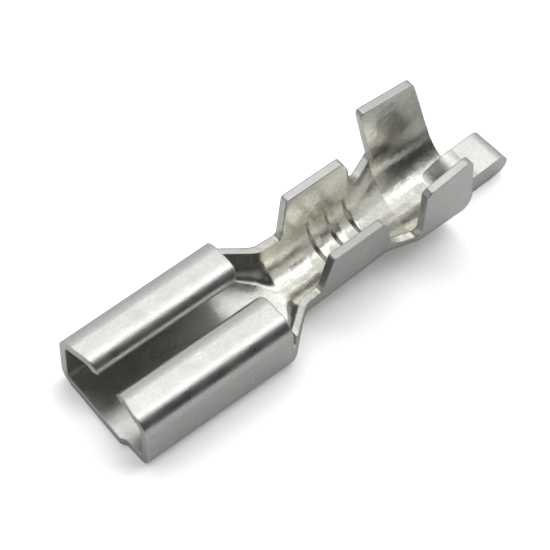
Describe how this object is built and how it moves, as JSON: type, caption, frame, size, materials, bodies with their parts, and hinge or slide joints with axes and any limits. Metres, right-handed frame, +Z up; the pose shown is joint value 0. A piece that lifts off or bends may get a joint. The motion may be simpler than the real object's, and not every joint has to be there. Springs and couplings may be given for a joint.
{
  "type": "female spade terminal",
  "caption": "Open-barrel female spade terminal: rolled receptacle for a flat tab, and open wire and insulation crimp barrels.",
  "frame": {"origin": "underside of the floor, at the middle of the mouth", "axes": "+X from the mouth to the tail, +Y to the side of the longer wings, +Z up, the way the barrels open"},
  "size_m": [0.0272, 0.0074, 0.0069],
  "materials": {
    "tinned_brass": "satin tin plate over rolled brass"
  },
  "bodies": {
    "root": {"spade_terminal": "tinned_brass"}
  },
  "joints": []
}
